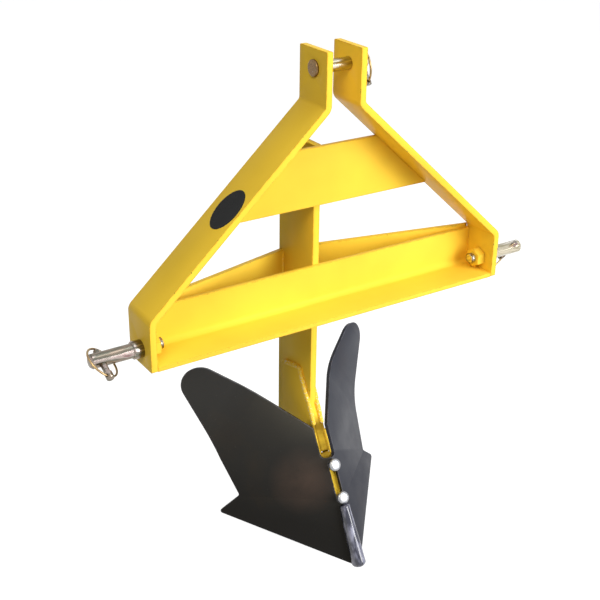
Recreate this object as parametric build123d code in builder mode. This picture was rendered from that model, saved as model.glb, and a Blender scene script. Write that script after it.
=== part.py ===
"""Middle buster plough for a three-point hitch, full size, in millimetres.

Frame: the origin is midway between the two lower hitch pins, on their common axis.
+X is to the right seen from the tractor's side, +Y points to the rear, +Z is up.
The plough is symmetric about the plane X = 0, apart from its pins' heads and locks.
"""
from build123d import *
import math
import os

os.makedirs("parts", exist_ok=True)

# A-frame of bent flat bar
BAR_WIDTH = 70.0
PIN_SETBACK = 32.5
BAR_THICK = 10.0
EAR_GAP = 50.0
FRAME_HALF = 326.0
FRAME_BOTTOM = -27.0
FRAME_TOP = 398.0
BEND_UPPER_Z = 318.0
BEND_LOWER_Z = 53.0
BEND_INSIDE_R = 7.0
EAR_CORNER_R = 2.0
FOOT_CORNER_R = 2.0

# lower cross member of angle section, upper cross plate, shank and braces
ANGLE_LEG = 70.0
ANGLE_THICK = 7.0
ANGLE_ROOT_R = 9.0
PLATE_THICK = 8.0
PLATE_BOTTOM = 145.0
PLATE_TOP = 240.0
SHANK_THICK = 12.0
SHANK_DEPTH = 99.0
SHANK_BOTTOM = -276.0
BRACE_THICK = 8.0
BRACE_HEIGHT = 50.0
BRACE_TOP_AT_BAR = 50.0
BRACE_TOP_AT_SHANK = 38.0
BRACE_REAR_INSET = 4.0

# plough bottom: two winged plates that meet in a ridge
NOSE_Y = -113.1
NOSE_Z = -455.0
WING_SWEEP = 44.5
WING_RAKE = 20.9
WING_THICK = 6.0
NOSE_DROP = 3.0
WING_BEND = 21.0
WING_BEND_R = 150.0
CREASE_START = (101.6, 338.7)
CREASE_END = (192.7, 260.4)
SHARE_TIP = (217.0, 139.5)
SHARE_TIP_R = 4.0
NOTCH_CORNER = (173.4, 159.5)
NOTCH_R = 4.0
OUTER_KNEE = (190.3, 227.0)
WING_TIP = (234.6, 454.0)
WING_TIP_R = 32.0
TOP_INNER = (19.5, 243.0)
THROAT_HALF = 19.5
THROAT_BOTTOM = 189.0
THROAT_R = 9.0
SLOT_HALF = 7.0
SLOT_PLAY = 2.5
BOLT_SPACING = 57.0
LOWER_BOLT_V = 118.5

# frog: two plates on the shank's sides and the bar that the bolts pass through
FROG_THICK = 5.0
FROG_RECESS = 2.0
FROG_TOP_V = 353.0
FROG_TOE_V = 75.0
FROG_TOP_REAR = -168.0
FROG_REAR_INSET = 17.0
FROG_REAR_BOTTOM = -262.0
FROG_STEP_GAP = 2.5
FROG_STEP_DEPTH = 82.0
FROG_FOOT_V = 95.0
FROG_FOOT_DEPTH = 40.0
BOLT_BAR_HALF = 11.0
BOLT_BAR_THICK = 8.0
BOLT_BAR_END = 22.0
BOLT_BAR_CORNER_R = 7.0
NOSE_RIB_R = 13.0
NOSE_RIB_TOP_R = 9.0
NOSE_RIB_START = 0.5
NOSE_RIB_TOP = 107.0
NOSE_RIB_END_R = 9.0
NOSE_RIB_FADE_R = 3.0

# bolts through the bottom
BOLT_R = 5.55
BOLT_HOLE_CLEARANCE = 0.25
BOLT_HEAD_R = 10.6
BOLT_HEAD_H = 7.0
BOLT_HEAD_ROUND = 3.0
BOLT_CONE_R = 8.5
BOLT_SEAT_DEPTH = 6.2
BOLT_END_OUT = 3.0
BOLT_NUT_AF = 17.5
BOLT_NUT_H = 9.5

# lower hitch pins
HITCH_PIN_R = 11.0
HITCH_HOLE_CLEARANCE = 0.25
HITCH_STUD_R = 8.5
COLLAR_R = 13.5
COLLAR_CHAMFER = 1.5
COLLAR_LENGTH = 15.5
PIN_REACH = 64.5
PIN_CHAMFER = 3.0
STUD_CHAMFER = 1.5
PIN_THREAD_OUT = 7.0
HITCH_NUT_AF = 28.5
HITCH_NUT_H = 16.0
LINCH_INSET = 17.0
LEFT_LINCH_SLOPE = 24.0
RIGHT_LINCH_SLOPE = 132.0

# top link pin
TOP_PIN_Z = 370.0
TOP_PIN_R = 9.5
TOP_HEAD_R = 12.5
TOP_HEAD_H = 4.0
TOP_HEAD_ROUND = 2.5
TOP_PIN_REACH = 21.0
TOP_PIN_CHAMFER = 1.5
TOP_LINCH_OUT = 13.0
TOP_LINCH_SLOPE = 60.0

# linch pins and their spring rings
LINCH_R = 4.8
LINCH_HOLE_CLEARANCE = 0.3
LINCH_TIP = 17.3
LINCH_TIP_CHAMFER = 1.5
LINCH_BOSS_START = 26.0
LINCH_END = 37.0
LINCH_END_CHAMFER = 1.0
LINCH_BOSS_R = 6.0
RING_HINGE = 32.0
RING_R = 26.0
RING_WIRE_R = 1.6
RING_SEAT = 0.4
RING_HOLE_R = 2.4
LEFT_RING_TILT = 55.0
RIGHT_RING_TILT = -33.0
RIGHT_RING_OPEN = 118.0
TOP_RING_TILT = -10.0

# worked out
frame_front = -PIN_SETBACK
frame_rear = frame_front + BAR_WIDTH
angle_rear = frame_front + ANGLE_LEG
angle_top = FRAME_BOTTOM + ANGLE_LEG
shank_rear = angle_rear + SHANK_DEPTH
inner_top = EAR_GAP / 2
outer_top = inner_top + BAR_THICK
inner_low = FRAME_HALF - BAR_THICK
bar_lean = math.atan2(FRAME_HALF - outer_top, BEND_UPPER_Z - BEND_LOWER_Z)
bend_drop = BAR_THICK * math.tan(bar_lean / 2)
pin_shoulder = FRAME_HALF + COLLAR_LENGTH
linch_x = pin_shoulder + PIN_REACH - LINCH_INSET
top_linch_x = outer_top + TOP_LINCH_OUT


def finish(part, label):
    """Name a finished piece and write it to its own file."""
    part.label = label
    export_step(part, f"parts/{label}.step")


def bar_inner_x(z):
    """Half the clear width between the two bars at height z."""
    share = (BEND_UPPER_Z - bend_drop - z) / (BEND_UPPER_Z - BEND_LOWER_Z)
    return inner_top + share * (inner_low - inner_top)


def unit(x, y, z):
    """Direction of a vector as a Vector of length one."""
    return Vector(x, y, z).normalized()


# directions of the right wing's plane: normal to the front, up the ridge, and outward
sweep = math.radians(WING_SWEEP)
rake = math.radians(WING_RAKE)
front_normal = unit(
    math.sin(sweep) * math.cos(rake), -math.cos(sweep) * math.cos(rake), math.sin(rake)
)
ridge_up = unit(0, front_normal.Z, -front_normal.Y)
outward = ridge_up.cross(front_normal)
ridge_forward = unit(0, -ridge_up.Z, ridge_up.Y)
nose = Vector(0, NOSE_Y, NOSE_Z)
wing_plane = Plane(origin=nose, x_dir=outward, z_dir=front_normal)


def ridge_plane(v, forward=0.0):
    """Plane across the bolts' direction at height v along the ridge line."""
    centre = nose + ridge_up * v + ridge_forward * forward
    return Plane(origin=centre, x_dir=(1, 0, 0), z_dir=ridge_forward)


def ridge_yz(v, forward):
    """The y and z of a point at height v along the ridge, moved forward from it."""
    point = nose + ridge_up * v + ridge_forward * forward
    return (point.Y, point.Z)


def wing_back(x):
    """Forward distance from the ridge line to the wing plate's rear face at half-width x."""
    return (-WING_THICK - front_normal.X * x) / front_normal.dot(ridge_forward)


# mast bars, bent outward at the ears and upright again at the lower pins
with BuildPart() as mast_bar:
    with BuildSketch(Plane.XZ.offset(-frame_rear)) as bar_outline:
        with BuildLine():
            Polyline(
                (outer_top, FRAME_TOP),
                (outer_top, BEND_UPPER_Z),
                (FRAME_HALF, BEND_LOWER_Z),
                (FRAME_HALF, FRAME_BOTTOM),
                (inner_low, FRAME_BOTTOM),
                (inner_low, BEND_LOWER_Z - bend_drop),
                (inner_top, BEND_UPPER_Z - bend_drop),
                (inner_top, FRAME_TOP),
                close=True,
            )
        make_face()
        bends = bar_outline.vertices().filter_by_position(Axis.Y, FRAME_BOTTOM + 1, FRAME_TOP - 1)
        lower_bend = bends.sort_by(Axis.Y)[:2].sort_by(Axis.X)
        upper_bend = bends.sort_by(Axis.Y)[2:].sort_by(Axis.X)
        fillet([lower_bend[0], upper_bend[1]], BEND_INSIDE_R)
        bends = bar_outline.vertices().filter_by_position(Axis.Y, FRAME_BOTTOM + 1, FRAME_TOP - 1)
        fillet([bends.sort_by(Axis.X)[-1]], BEND_INSIDE_R + BAR_THICK)
        bends = bar_outline.vertices().filter_by_position(Axis.Y, FRAME_BOTTOM + 1, FRAME_TOP - 1)
        fillet([bends.sort_by(Axis.X)[0]], BEND_INSIDE_R + BAR_THICK)
    extrude(amount=BAR_WIDTH)
    ear_corners = mast_bar.edges().filter_by(Axis.X).group_by(Axis.Z)[-1]
    fillet(ear_corners, EAR_CORNER_R)
    foot_corners = mast_bar.edges().filter_by(Axis.X).group_by(Axis.Z)[0]
    fillet(foot_corners, FOOT_CORNER_R)
    with BuildSketch(Plane.YZ):
        with Locations((0, TOP_PIN_Z)):
            Circle(TOP_PIN_R + HITCH_HOLE_CLEARANCE)
    extrude(amount=outer_top + 1, mode=Mode.SUBTRACT)
    with BuildSketch(Plane.YZ):
        Circle(HITCH_STUD_R + HITCH_HOLE_CLEARANCE)
    extrude(amount=FRAME_HALF + 1, mode=Mode.SUBTRACT)

finish(mast_bar.part, "mast_bar_right")
finish(mirror(mast_bar.part, about=Plane.YZ), "mast_bar_left")

# lower cross member: angle section with its flat leg at the bottom, toward the front
with BuildPart() as angle_beam:
    with BuildSketch(Plane.YZ) as angle_section:
        with BuildLine():
            Polyline(
                (frame_front, FRAME_BOTTOM),
                (angle_rear, FRAME_BOTTOM),
                (angle_rear, angle_top),
                (angle_rear - ANGLE_THICK, angle_top),
                (angle_rear - ANGLE_THICK, FRAME_BOTTOM + ANGLE_THICK),
                (frame_front, FRAME_BOTTOM + ANGLE_THICK),
                close=True,
            )
        make_face()
        by_root = angle_section.vertices().sort_by_distance(
            (angle_rear - ANGLE_THICK, FRAME_BOTTOM + ANGLE_THICK, 0)
        )
        fillet([by_root[0]], ANGLE_ROOT_R)
    extrude(amount=inner_low, both=True)

finish(angle_beam.part, "angle_beam")

# upper cross plate between the two bars
plate_top_half = bar_inner_x(PLATE_TOP)
plate_bottom_half = bar_inner_x(PLATE_BOTTOM)
with BuildPart() as cross_plate:
    with BuildSketch(Plane.XZ.offset(-angle_rear)):
        with BuildLine():
            Polyline(
                (-plate_bottom_half, PLATE_BOTTOM),
                (plate_bottom_half, PLATE_BOTTOM),
                (plate_top_half, PLATE_TOP),
                (-plate_top_half, PLATE_TOP),
                close=True,
            )
        make_face()
    extrude(amount=PLATE_THICK)

finish(cross_plate.part, "cross_plate")

# braces from behind the angle's ends to the shank's sides
brace_rear_y = shank_rear - BRACE_REAR_INSET
brace_run = inner_low - SHANK_THICK / 2
brace_slope = (brace_rear_y - angle_rear) / brace_run
brace_skew = BRACE_THICK * math.sqrt(1 + brace_slope**2)
with BuildPart() as brace:
    with BuildSketch(Plane.XY.offset(FRAME_BOTTOM)):
        with BuildLine():
            Polyline(
                (SHANK_THICK / 2, brace_rear_y),
                (inner_low, angle_rear),
                (inner_low - brace_skew / brace_slope, angle_rear),
                (SHANK_THICK / 2, brace_rear_y - brace_skew),
                close=True,
            )
        make_face()
    extrude(amount=BRACE_TOP_AT_BAR - FRAME_BOTTOM)
    with BuildSketch(Plane.XZ):
        with BuildLine():
            Polyline(
                (SHANK_THICK / 2, BRACE_TOP_AT_SHANK),
                (inner_low, BRACE_TOP_AT_BAR),
                (inner_low, BRACE_TOP_AT_BAR - BRACE_HEIGHT),
                (SHANK_THICK / 2, BRACE_TOP_AT_SHANK - BRACE_HEIGHT),
                close=True,
            )
        make_face()
    extrude(amount=-2 * shank_rear, mode=Mode.INTERSECT)

finish(brace.part, "brace_right")
finish(mirror(brace.part, about=Plane.YZ), "brace_left")

# wing: a flat share and a bent-forward wing cut from one plate
crease_run = Vector(CREASE_END[0] - CREASE_START[0], CREASE_END[1] - CREASE_START[1])
crease_dir = outward * crease_run.X + ridge_up * crease_run.Y
crease_dir = crease_dir.normalized()
crease_up = front_normal.cross(crease_dir)
crease_point = nose + outward * CREASE_START[0] + ridge_up * CREASE_START[1]
bend_tangent = WING_BEND_R * math.tan(math.radians(WING_BEND / 2))
bend_plane = Plane(origin=crease_point, x_dir=crease_up, z_dir=crease_up.cross(front_normal))
wing_span = 2 * WING_TIP[1]
wing_corners = (
    (SHARE_TIP, SHARE_TIP_R),
    (NOTCH_CORNER, NOTCH_R),
    (WING_TIP, WING_TIP_R),
    ((THROAT_HALF, THROAT_BOTTOM), THROAT_R),
)
bend_turn = math.radians(WING_BEND)
with BuildPart() as wing:
    with BuildSketch(wing_plane.offset(-2 * WING_THICK)) as wing_outline:
        with BuildLine():
            Polyline(
                (-2 * WING_THICK, -NOSE_DROP),
                (0, -NOSE_DROP),
                SHARE_TIP,
                NOTCH_CORNER,
                OUTER_KNEE,
                WING_TIP,
                TOP_INNER,
                (THROAT_HALF, THROAT_BOTTOM),
                (-2 * WING_THICK, THROAT_BOTTOM),
                close=True,
            )
        make_face()
        for corner, radius in wing_corners:
            nearest = wing_outline.vertices().sort_by_distance((*corner, 0))
            fillet(nearest[:1], radius)
    extrude(amount=wing_span)
    with BuildSketch(bend_plane):
        with BuildLine():
            flat = Line((-wing_span, 0), (-bend_tangent, 0))
            roll = JernArc(start=flat @ 1, tangent=flat % 1, radius=WING_BEND_R, arc_size=WING_BEND)
            rise = Line(roll @ 1, roll @ 1 + (roll % 1) * wing_span)
            drop = Vector(math.sin(bend_turn), -math.cos(bend_turn)) * WING_THICK
            back_end = Line(rise @ 1, rise @ 1 + drop)
            back_rise = Line(back_end @ 1, roll @ 1 + drop)
            back_roll = JernArc(
                start=back_rise @ 1,
                tangent=back_rise % 1,
                radius=WING_BEND_R + WING_THICK,
                arc_size=-WING_BEND,
            )
            back_flat = Line(back_roll @ 1, (-wing_span, -WING_THICK))
            Line(back_flat @ 1, flat @ 0)
        make_face()
    extrude(amount=wing_span, both=True, mode=Mode.INTERSECT)
    split(bisect_by=Plane.YZ, keep=Keep.TOP)
    with BuildSketch(ridge_plane(LOWER_BOLT_V + BOLT_SPACING / 2)):
        SlotCenterToCenter(BOLT_SPACING + 2 * SLOT_PLAY, 2 * SLOT_HALF, rotation=90)
    extrude(amount=wing_span, both=True, mode=Mode.SUBTRACT)

finish(wing.part, "wing_right")
finish(mirror(wing.part, about=Plane.YZ), "wing_left")

# shank: one flat bar behind the cross plate and the angle, its foot cut along the ridge
frog_side = SHANK_THICK / 2
bar_front = wing_back(BOLT_BAR_HALF)
bar_rear = bar_front - BOLT_BAR_THICK
bar_low_v = LOWER_BOLT_V - BOLT_BAR_END
bar_high_v = LOWER_BOLT_V + BOLT_SPACING + BOLT_BAR_END
frog_step_v = bar_high_v + FROG_STEP_GAP
shank_front = bar_front - FROG_RECESS
shank_toe_y, shank_toe_z = ridge_yz(frog_step_v, shank_front)
toe_rise = (angle_rear - shank_toe_y) * ridge_up.Z / ridge_up.Y
with BuildPart() as shank:
    with BuildSketch(Plane.YZ):
        with BuildLine():
            Polyline(
                (angle_rear, PLATE_TOP),
                (shank_rear, PLATE_TOP),
                (shank_rear, SHANK_BOTTOM),
                ridge_yz(frog_step_v, -FROG_STEP_DEPTH),
                (shank_toe_y, shank_toe_z),
                (angle_rear, shank_toe_z + toe_rise),
                close=True,
            )
        make_face()
    extrude(amount=frog_side, both=True)

finish(shank.part, "shank")

# frog plates on the shank's sides, their front edges along the wings' rear faces
frog_front = wing_back(frog_side + FROG_THICK) - FROG_RECESS
frog_rear = shank_rear - FROG_REAR_INSET
with BuildPart() as frog_plate:
    with BuildSketch(Plane.YZ.offset(frog_side)):
        with BuildLine():
            Polyline(
                ridge_yz(FROG_TOP_V, frog_front),
                (frog_rear, FROG_TOP_REAR),
                (frog_rear, FROG_REAR_BOTTOM),
                ridge_yz(frog_step_v, -FROG_STEP_DEPTH),
                ridge_yz(frog_step_v, -FROG_FOOT_DEPTH),
                ridge_yz(FROG_FOOT_V, -FROG_FOOT_DEPTH),
                ridge_yz(FROG_TOE_V, frog_front),
                ridge_yz(bar_low_v, frog_front),
                ridge_yz(bar_low_v, bar_rear),
                ridge_yz(bar_high_v, bar_rear),
                ridge_yz(bar_high_v, frog_front),
                close=True,
            )
        make_face()
    extrude(amount=FROG_THICK)

finish(frog_plate.part, "frog_plate_right")
finish(mirror(frog_plate.part, about=Plane.YZ), "frog_plate_left")

# bolt bar across the front of the frog plates
with BuildPart() as bolt_bar:
    with BuildSketch(ridge_plane((bar_low_v + bar_high_v) / 2, bar_rear)):
        RectangleRounded(2 * BOLT_BAR_HALF, bar_high_v - bar_low_v, BOLT_BAR_CORNER_R)
        with GridLocations(0, BOLT_SPACING, 1, 2):
            Circle(BOLT_R + BOLT_HOLE_CLEARANCE, mode=Mode.SUBTRACT)
    extrude(amount=BOLT_BAR_THICK)

finish(bolt_bar.part, "bolt_bar")

# rib down the ridge to the nose
rib_side = Plane(origin=nose, x_dir=ridge_forward, z_dir=(-1, 0, 0))
ridge_across = Plane(origin=nose - ridge_up * wing_span / 2, x_dir=(1, 0, 0), z_dir=ridge_up)
wing_run = (outward.X * wing_span, -outward.dot(ridge_forward) * wing_span)
with BuildPart() as nose_rib:
    with BuildSketch(rib_side) as rib_half:
        with BuildLine():
            Polyline(
                (0, NOSE_RIB_START),
                (NOSE_RIB_R, NOSE_RIB_START),
                (NOSE_RIB_TOP_R, NOSE_RIB_TOP),
                (0, NOSE_RIB_TOP),
                close=True,
            )
        make_face()
        fillet(rib_half.vertices().sort_by_distance((NOSE_RIB_R, NOSE_RIB_START, 0))[:1], NOSE_RIB_END_R)
        fillet(rib_half.vertices().sort_by_distance((NOSE_RIB_TOP_R, NOSE_RIB_TOP, 0))[:1], NOSE_RIB_FADE_R)
    revolve(axis=Axis(nose, ridge_up))
    with BuildSketch(ridge_across):
        with BuildLine():
            Polyline((0, 0), wing_run, (-wing_run[0], wing_run[1]), close=True)
        make_face()
    extrude(amount=wing_span, mode=Mode.SUBTRACT)

finish(nose_rib.part, "nose_rib")

# plough bolts with coned necks, and the nuts behind the frog plates
cone_slope = (BOLT_CONE_R - SLOT_HALF) / BOLT_SEAT_DEPTH
cone_depth = (BOLT_CONE_R - BOLT_R) / cone_slope
bolt_end = -FROG_FOOT_DEPTH - BOLT_NUT_H - BOLT_END_OUT
with BuildPart() as plough_bolt:
    with BuildSketch(Plane.XZ) as bolt_half:
        with BuildLine():
            Polyline(
                (0, BOLT_HEAD_H),
                (BOLT_HEAD_R, BOLT_HEAD_H),
                (BOLT_HEAD_R, 0),
                (BOLT_CONE_R, 0),
                (BOLT_R, -cone_depth),
                (BOLT_R, bolt_end),
                (0, bolt_end),
                close=True,
            )
        make_face()
        fillet(bolt_half.vertices().sort_by_distance((BOLT_HEAD_R, BOLT_HEAD_H, 0))[:1], BOLT_HEAD_ROUND)
    revolve(axis=Axis.Z)

with BuildPart() as plough_nut:
    with BuildSketch(Plane.XY.offset(-FROG_FOOT_DEPTH)):
        RegularPolygon(BOLT_NUT_AF / 2, 6, major_radius=False)
        Circle(BOLT_R, mode=Mode.SUBTRACT)
    extrude(amount=-BOLT_NUT_H)

for level, v in (("lower", LOWER_BOLT_V), ("upper", LOWER_BOLT_V + BOLT_SPACING)):
    seat = ridge_plane(v).location
    finish(plough_bolt.part.moved(seat), f"plough_bolt_{level}")
    finish(plough_nut.part.moved(seat), f"plough_nut_{level}")

# lower hitch pins clamped through the bars' feet
thread_end = inner_low - HITCH_NUT_H - PIN_THREAD_OUT


def linch_axis(slope):
    """Direction of a linch pin toward its ring, turned down from straight ahead by slope."""
    turn = math.radians(slope)
    return unit(0, -math.cos(turn), -math.sin(turn))


def hitch_pin(slope):
    """Right hitch pin, its cross hole along the linch pin's axis."""
    with BuildPart() as pin:
        with BuildSketch(Plane.YZ.offset(thread_end)):
            Circle(HITCH_STUD_R)
        extrude(amount=FRAME_HALF - thread_end)
        chamfer(pin.edges().group_by(Axis.X)[0], STUD_CHAMFER)
        with BuildSketch(Plane.YZ.offset(FRAME_HALF)):
            Circle(COLLAR_R)
        extrude(amount=COLLAR_LENGTH)
        chamfer(pin.edges().group_by(Axis.X)[-1], COLLAR_CHAMFER)
        with BuildSketch(Plane.YZ.offset(pin_shoulder)):
            Circle(HITCH_PIN_R)
        extrude(amount=PIN_REACH)
        chamfer(pin.edges().group_by(Axis.X)[-1], PIN_CHAMFER)
        hole = Plane(origin=(linch_x, 0, 0), x_dir=(1, 0, 0), z_dir=linch_axis(slope))
        with BuildSketch(hole):
            Circle(LINCH_R + LINCH_HOLE_CLEARANCE)
        extrude(amount=2 * HITCH_PIN_R, both=True, mode=Mode.SUBTRACT)
    return pin.part


with BuildPart() as hitch_nut:
    with BuildSketch(Plane.YZ.offset(inner_low - HITCH_NUT_H)):
        RegularPolygon(HITCH_NUT_AF / 2, 6, major_radius=False)
        Circle(HITCH_STUD_R, mode=Mode.SUBTRACT)
    extrude(amount=HITCH_NUT_H)

# top link pin through both ears, its head on the left
top_hole = Plane(
    origin=(top_linch_x, 0, TOP_PIN_Z), x_dir=(1, 0, 0), z_dir=linch_axis(TOP_LINCH_SLOPE)
)
with BuildPart() as top_link_pin:
    with BuildSketch(Plane.YZ.offset(-outer_top - TOP_HEAD_H)):
        with Locations((0, TOP_PIN_Z)):
            Circle(TOP_HEAD_R)
    extrude(amount=TOP_HEAD_H)
    fillet(top_link_pin.edges().group_by(Axis.X)[0], TOP_HEAD_ROUND)
    with BuildSketch(Plane.YZ.offset(-outer_top)):
        with Locations((0, TOP_PIN_Z)):
            Circle(TOP_PIN_R)
    extrude(amount=2 * outer_top + TOP_PIN_REACH)
    chamfer(top_link_pin.edges().group_by(Axis.X)[-1], TOP_PIN_CHAMFER)
    with BuildSketch(top_hole):
        Circle(LINCH_R + LINCH_HOLE_CLEARANCE)
    extrude(amount=2 * TOP_PIN_R, both=True, mode=Mode.SUBTRACT)

finish(top_link_pin.part, "top_link_pin")

# linch pin along its own +Z, with the ring's hole across its end along +X
with BuildPart() as linch_pin:
    with BuildSketch(Plane.XY.offset(-LINCH_TIP)):
        Circle(LINCH_R)
    extrude(amount=LINCH_TIP + LINCH_BOSS_START)
    chamfer(linch_pin.edges().group_by(Axis.Z)[0], LINCH_TIP_CHAMFER)
    with BuildSketch(Plane.XY.offset(LINCH_BOSS_START)):
        Circle(LINCH_BOSS_R)
    extrude(amount=LINCH_END - LINCH_BOSS_START)
    chamfer(linch_pin.edges().group_by(Axis.Z)[-1], LINCH_END_CHAMFER)
    with BuildSketch(Plane.YZ):
        with Locations((0, RING_HINGE)):
            Circle(RING_HOLE_R)
    extrude(amount=2 * LINCH_BOSS_R, both=True, mode=Mode.SUBTRACT)

with BuildPart() as linch_ring:
    with BuildSketch(Plane.XY.offset(RING_HINGE + RING_SEAT - RING_R)):
        with Locations((RING_R, 0)):
            Circle(RING_WIRE_R)
    revolve(axis=Axis((0, 0, RING_HINGE + RING_SEAT - RING_R), (0, 1, 0)))


def linch_place(centre, slope, tilt):
    """Where a linch pin sits: its slope, and its ring's hinge tilted outward from the pin's side."""
    axis = linch_axis(slope)
    side = unit(0, axis.Z, -axis.Y)
    turn = math.radians(tilt)
    hinge = side * math.cos(turn) + Vector(math.sin(turn), 0, 0)
    return Plane(origin=centre, x_dir=hinge, z_dir=axis).location


left_place = linch_place((linch_x, 0, 0), LEFT_LINCH_SLOPE, LEFT_RING_TILT)
right_place = linch_place((linch_x, 0, 0), RIGHT_LINCH_SLOPE, RIGHT_RING_TILT)
top_place = linch_place((top_linch_x, 0, TOP_PIN_Z), TOP_LINCH_SLOPE, TOP_RING_TILT)
ring_hinge = Axis((0, 0, RING_HINGE), (1, 0, 0))
opened_ring = linch_ring.part.rotate(ring_hinge, RIGHT_RING_OPEN)
left_linch = linch_pin.part.moved(left_place)
left_ring = linch_ring.part.moved(left_place)

finish(hitch_pin(RIGHT_LINCH_SLOPE), "hitch_pin_right")
finish(hitch_nut.part, "hitch_nut_right")
finish(linch_pin.part.moved(right_place), "linch_pin_right")
finish(opened_ring.moved(right_place), "linch_ring_right")
finish(mirror(hitch_pin(LEFT_LINCH_SLOPE), about=Plane.YZ), "hitch_pin_left")
finish(mirror(hitch_nut.part, about=Plane.YZ), "hitch_nut_left")
finish(mirror(left_linch, about=Plane.YZ), "linch_pin_left")
finish(mirror(left_ring, about=Plane.YZ), "linch_ring_left")
finish(linch_pin.part.moved(top_place), "linch_pin_top")
finish(linch_ring.part.moved(top_place), "linch_ring_top")
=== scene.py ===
"""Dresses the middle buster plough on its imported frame, and sets it in a plain studio."""

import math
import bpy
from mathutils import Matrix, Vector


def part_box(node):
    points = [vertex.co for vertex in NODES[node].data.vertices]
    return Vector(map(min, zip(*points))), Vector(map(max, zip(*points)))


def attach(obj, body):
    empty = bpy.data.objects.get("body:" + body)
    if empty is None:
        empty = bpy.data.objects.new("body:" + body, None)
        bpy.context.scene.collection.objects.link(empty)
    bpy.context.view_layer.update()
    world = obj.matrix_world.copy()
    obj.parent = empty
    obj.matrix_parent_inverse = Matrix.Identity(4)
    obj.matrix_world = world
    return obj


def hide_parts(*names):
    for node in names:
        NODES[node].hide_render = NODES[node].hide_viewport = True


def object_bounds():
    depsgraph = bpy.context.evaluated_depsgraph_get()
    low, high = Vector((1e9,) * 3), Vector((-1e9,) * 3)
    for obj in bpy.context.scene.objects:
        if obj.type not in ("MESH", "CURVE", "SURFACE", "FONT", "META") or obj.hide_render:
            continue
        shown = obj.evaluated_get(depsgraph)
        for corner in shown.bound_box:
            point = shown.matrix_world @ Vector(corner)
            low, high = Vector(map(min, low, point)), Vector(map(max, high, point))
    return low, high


bl_info = {
    "name": "Middle Buster Plough",
    "version": (1, 0, 0),
    "blender": (4, 5, 0),
    "location": "View3D > Sidebar > Plough",
    "description": "Builds the plough's painted frame, black bottom, pins, rings and studio",
    "category": "Object",
}

import bmesh
import bpy
import numpy as np
from bpy.props import FloatProperty, FloatVectorProperty, PointerProperty
from mathutils import Matrix

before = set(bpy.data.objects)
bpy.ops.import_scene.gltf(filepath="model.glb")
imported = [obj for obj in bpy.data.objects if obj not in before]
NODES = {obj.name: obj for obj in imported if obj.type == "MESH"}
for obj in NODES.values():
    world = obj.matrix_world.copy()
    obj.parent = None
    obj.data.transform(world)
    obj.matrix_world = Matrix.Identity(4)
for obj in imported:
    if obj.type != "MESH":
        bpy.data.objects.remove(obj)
CAD_BOX = [list(corner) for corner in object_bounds()]
FULL_TURN = 2 * math.pi
NEARLY_NOTHING = 1e-6
MERGE_DISTANCE = 2e-6
SHARP_ANGLE = math.radians(38)

# the bottom's ridge line, from the wings' sweep and rake, and the lower hitch pins' axis
SWEEP, RAKE = math.radians(44.5), math.radians(20.9)
NOSE = np.array([0, -0.1131, -0.455])
FACE = np.array(
    [math.sin(SWEEP) * math.cos(RAKE), -math.cos(SWEEP) * math.cos(RAKE), math.sin(RAKE)]
)
RIDGE_UP = np.array([0, FACE[2], -FACE[1]]) / math.hypot(FACE[1], FACE[2])
RIDGE_AHEAD = np.array([0, -RIDGE_UP[2], RIDGE_UP[1]])
SIDEWAYS = np.array([1.0, 0, 0])
# the middle of the shade painted into the throat between the wings
THROAT = NOSE + 0.215 * RIDGE_UP - 0.010 * RIDGE_AHEAD
# the middle of a warm reflection of the yellow frame, painted on the left wing
WARM_REFLECTION_MIDDLE = NOSE + 0.160 * RIDGE_UP - 0.040 * RIDGE_AHEAD - 0.043 * SIDEWAYS

# the plough bolts' heights up the ridge line, the places of their nuts and threads behind it,
# and each nut as its height and its width across flats
BOLT_HEIGHTS = (0.1185, 0.1755)
BOLT_THREAD_END = -0.044
BOLT_NUT_FACE = -0.040
BOLT_NUT = (0.010, 0.0175)
HITCH_NUT = (0.016, 0.0285)
NUT_CHAMFER = 0.97
NUT_CHAMFER_SLOPE = 1.9

# distances from the middle plane: a hitch nut's and stud's inner faces, and the top pin's head
HITCH_NUT_FACE = 0.300
STUD_END = 0.293
STUD_R = 0.0085
TOP_HEAD_BEYOND = -0.0345

# each weld's two ends on the right side, on the frame
FRAME_WELDS = (
    ((0.006, 0.0375, 0.147), (0.006, 0.0375, 0.238)),
    ((0.006, 0.0375, -0.025), (0.006, 0.0375, 0.041)),
    ((0.006, 0.1245, -0.010), (0.006, 0.1245, 0.036)),
    ((0.006, 0.1325, -0.010), (0.006, 0.1325, 0.036)),
    ((0.315, 0.0375, -0.025), (0.315, 0.0375, 0.0)),
    ((0.289, 0.0385, 0.002), (0.289, 0.0385, 0.041)),
    ((0.186, 0.0375, 0.148), (0.103, 0.0375, 0.237)),
)
FROG_TOP_REAR = (0.0082, 0.117, -0.1665)

# radii on the edges of the pins
HITCH_PIN_ROUND = 0.0007
TOP_PIN_ROUND = 0.0006
LINCH_PIN_ROUND = 0.0005

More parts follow.
